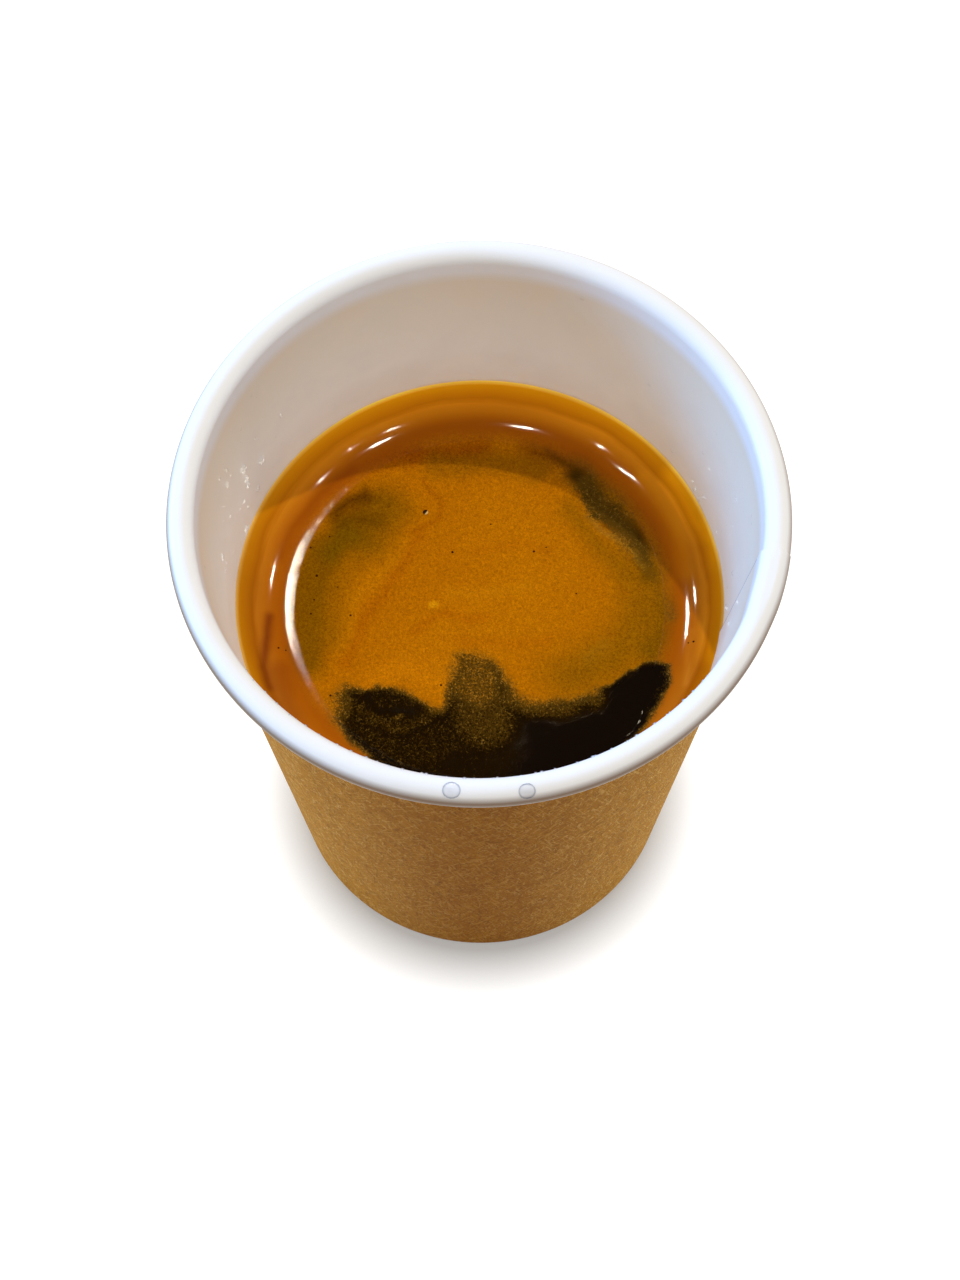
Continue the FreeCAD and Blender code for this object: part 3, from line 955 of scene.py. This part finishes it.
wall_drop_height = 0.62     # of the half width
lip_drops = [
    # (azimuth, angle round the roll from its top, half width, half length)
    (-95.4, 14.0, 1.2, 1.05),
    (-81.7, 28.0, 1.12, 0.98),
]
lip_drop_height = 0.32 * MM
lip_drop_sunk = 0.06 * MM
edge_drops = 38
edge_from, edge_to = -142, -38
edge_drop_height = 0.7      # of the half width


def on_wall(azimuth, height):
    """A place on the white wall and the way it faces, at an azimuth in degrees and a height."""
    turn = math.radians(azimuth)
    radius = white_face(height) - board * lap_layer(turn, lap_edge, lap_reach, lap_slope)
    lean = math.atan(cup_taper)
    return round_cup(radius, turn, height), round_cup(-math.cos(lean), turn, math.sin(lean))


def on_lip(azimuth, tilt):
    """A place on the rolled lip, at an azimuth and at an angle round the roll from straight up, outwards."""
    turn, lean = math.radians(azimuth), math.radians(tilt)
    facing = round_cup(math.sin(lean), turn, math.cos(lean))
    return round_cup(roll_line, turn, roll_height) + facing * roll_radius, facing


for _ in range(finest_drops):
    side = chance.choice(misted_sides)
    clinging.append((side + chance.gauss(0, 13), chance.uniform(2.0, 21.0), chance.uniform(0.08, 0.2)))
misted = []
for azimuth, climb, half in clinging:
    spot, facing = on_wall(azimuth, contact_height + climb * MM)
    half_long = half * chance.uniform(1.0, 1.35) * MM
    misted.append((spot, facing, half * MM, half_long, half * wall_drop_height * MM))
condensation = strew(bead("condensation", 3, 12), misted)

splashed = []
for azimuth, tilt, half, half_long in lip_drops:
    spot, facing = on_lip(azimuth, tilt)
    splashed.append((spot - facing * lip_drop_sunk, facing, half * MM, half_long * MM, lip_drop_height))
for step in range(edge_drops):
    azimuth = edge_from + (edge_to - edge_from) * step / (edge_drops - 1) + chance.uniform(-1.3, 1.3)
    spot, facing = on_lip(azimuth, chance.uniform(-78, -52))
    half = chance.uniform(0.10, 0.26) * MM
    splashed.append((spot, facing, half, half, half * edge_drop_height))
splashes = strew(bead("splashes", 4, 16), splashed)

# Clear water with painted shade, greyer where it turns away; the drops on the wall show only a thin painted
# dark edge
for drops, edge_shade_starts, edge_shade_ends in ((condensation, 0.55, 0.9), (splashes, 0.07, 0.26)):
    water = Nodes(f"water_{drops.name}")
    ripple = water.grain(water.place(), 900, 2)
    turned_away = water.add("ShaderNodeLayerWeight", "Facing", {"Blend": 0.5})
    edge = water.spread(turned_away, edge_shade_starts, edge_shade_ends)
    water.finish(
        Base_Color=water.mix(edge, srgb(252, 252, 253), srgb(158, 162, 174)),
        Roughness=water.spread(ripple, 0.3, 0.7, 0.01, 0.05),
        Normal=water.bump(ripple, 0.01 * MM, 0.4),
        Transmission_Weight=1.0,
        IOR=1.33,
    )
    drops.visible_shadow = False
    drops.data.materials.append(water.material)
    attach(drops, "root")

# ------------------------------------------------------------
# Floor, lamps and camera. A pale floor, an even sky, one key lamp high behind the cup and a soft
# window at each side. Small ceiling lamps only glint in the wet ring, and two more in the drops.
# ------------------------------------------------------------
bpy.ops.object.select_all(action="DESELECT")
bpy.ops.mesh.primitive_plane_add(size=6, location=(0, 0, 0))
floor = bpy.context.object
floor.name = "floor"
pale = Nodes("floor_paint")
pale.finish(Base_Color=srgb(182, 183, 185), Roughness=0.9, Specular_IOR_Level=0.1)
rays = pale.tree.nodes.new("ShaderNodeLightPath")
seen = pale.sum("MAXIMUM", rays.outputs["Is Camera Ray"], rays.outputs["Is Glossy Ray"])
seen = pale.sum("MAXIMUM", seen, rays.outputs["Is Transmission Ray"])
# The floor glows evenly away from the cup; nearer the foot the glow is dimmer, a painted shadow round it,
# centred a little in front
from_foot = pale.vector("DISTANCE", pale.place(), (0, -3 * MM, 0))
glow_and_painted_shadow = pale.spread(from_foot, wrap_foot_radius - 2 * MM, wrap_foot_radius + 6 * MM, 0.22, 0.9)
pale.finish(Emission_Color=(1, 1, 1, 1), Emission_Strength=pale.times(seen, glow_and_painted_shadow))
floor.data.materials.append(pale.material)

world = bpy.data.worlds.new("sky")
bpy.context.scene.world = world
world.use_nodes = True
sky = world.node_tree.nodes["Background"]
sky.inputs["Color"].default_value = (1.0, 0.97, 0.9, 1)
sky.inputs["Strength"].default_value = 0.74


def lamp(name, kind, direction, distance, power, size):
    """A lamp that looks at the middle of the drink from a direction, its first side left to right."""
    light = bpy.data.lights.new(name, kind)
    light.energy = power
    if kind == "AREA":
        light.shape = "ELLIPSE"
        light.size, light.size_y = size
    else:
        light.angle = size
    holder = bpy.data.objects.new(name, light)
    bpy.context.collection.objects.link(holder)
    towards = Vector(direction).normalized()
    upward = towards.cross(Vector((1, 0.0001, 0))).normalized()
    across = upward.cross(towards)
    turn = Matrix((across, upward, towards)).transposed()
    holder.location = Vector((0, 0, drink_level)) + towards * distance
    holder.rotation_euler = turn.to_euler()
    return holder


def light_only(light, pieces, state="INCLUDE"):
    """Lets a lamp reach only these pieces, or all but these."""
    reached = bpy.data.collections.new(f"reached_by_{light.name}")
    light.light_linking.receiver_collection = reached
    for piece in pieces:
        reached.objects.link(piece)
    for entry in reached.collection_objects:
        entry.light_linking.link_state = state


key = lamp("key", "SUN", (0.157, 0.442, 0.883), 1.5, 1.25, 0.016)
key.data.color = (1.0, 0.97, 0.92)
key.visible_glossy = False
light_only(key, [floor], "EXCLUDE")
side_windows = [
    # (name, direction, power, colour, the pieces that it reaches)
    ("window_left", (-0.95, 0.1, 0.2), 20.0, (0.42, 0.64, 1.0), [kraft_wrap]),
    ("window_right", (0.97, 0.1, 0.05), 20.0, (0.46, 0.68, 1.0), [kraft_wrap]),
    ("fill_left", (-0.9, 0.3, 0.31), 13.0, (0.16, 0.48, 1.0), [inner_cup]),
    ("fill_right", (0.85, -0.1, 0.4), 0.8, (0.5, 0.75, 1.0), [inner_cup]),
]
for name, direction, power, colour, reached in side_windows:
    window = lamp(name, "AREA", direction, 1.0, power, (0.5, 0.4))
    window.data.color = colour
    light_only(window, reached)
glare = 900.0               # how bright the first lamp looks; a lamp's power follows from its size
ceiling_height = 1.3
ceiling_lamps = [
    # (direction, size left to right, size front to back, how much brighter than the first);
    # the first stands where the key lamp would show in the drink
    ((0.155, 0.398, 0.904), 0.080, 0.160, 1), ((0.387, 0.348, 0.854), 0.032, 0.065, 4),
    ((0.335, 0.109, 0.936), 0.026, 0.026, 4), ((0.182, 0.078, 0.980), 0.060, 0.044, 2),
    ((0.207, -0.063, 0.976), 0.050, 0.018, 4), ((0.332, -0.040, 0.942), 0.030, 0.016, 3),
    ((-0.069, 0.097, 0.993), 0.034, 0.014, 9), ((-0.290, 0.0, 0.957), 0.026, 0.010, 9),
    ((-0.280, 0.137, 0.950), 0.080, 0.016, 4), ((-0.340, 0.442, 0.830), 0.050, 0.120, 2),
    ((-0.469, 0.397, 0.788), 0.026, 0.060, 4),
]
for number, (direction, across, along, brighter) in enumerate(ceiling_lamps):
    power = brighter * glare * math.pi * math.pi / 4 * across * along
    glint = lamp(f"ceiling_{number}", "AREA", direction, ceiling_height, power, (across, along))
    glint.data.color = (1.0, 0.88, 0.66)
    glint.visible_diffuse = False
    light_only(glint, [crema, coffee])

for side in (-1, 1):
    drop_glint = lamp(f"drop_glint_{side}", "AREA", (0.9 * side, -0.1, 0.42), 1.3, 14.0, (0.2, 0.2))
    drop_glint.visible_diffuse = False
    light_only(drop_glint, [condensation, bubble])

view_elevation = math.radians(64.0)
view_distance = 0.395
view_roll = math.radians(-0.42)
aim = Vector((0, 0, 50.6 * MM))
camera_data = bpy.data.cameras.new("camera")
camera_data.sensor_width = 36
camera_data.lens = 87.19
camera = bpy.data.objects.new("camera", camera_data)
bpy.context.collection.objects.link(camera)
towards_camera = Vector((0, -math.cos(view_elevation), math.sin(view_elevation)))
camera.location = Vector((0, 0, rim_top)) + view_distance * towards_camera
camera.rotation_euler = (aim - camera.location).to_track_quat("-Z", "Y").to_euler()
camera.rotation_euler.rotate_axis("Z", view_roll)
bpy.context.scene.camera = camera
bpy.context.scene.view_settings.view_transform = "Standard"
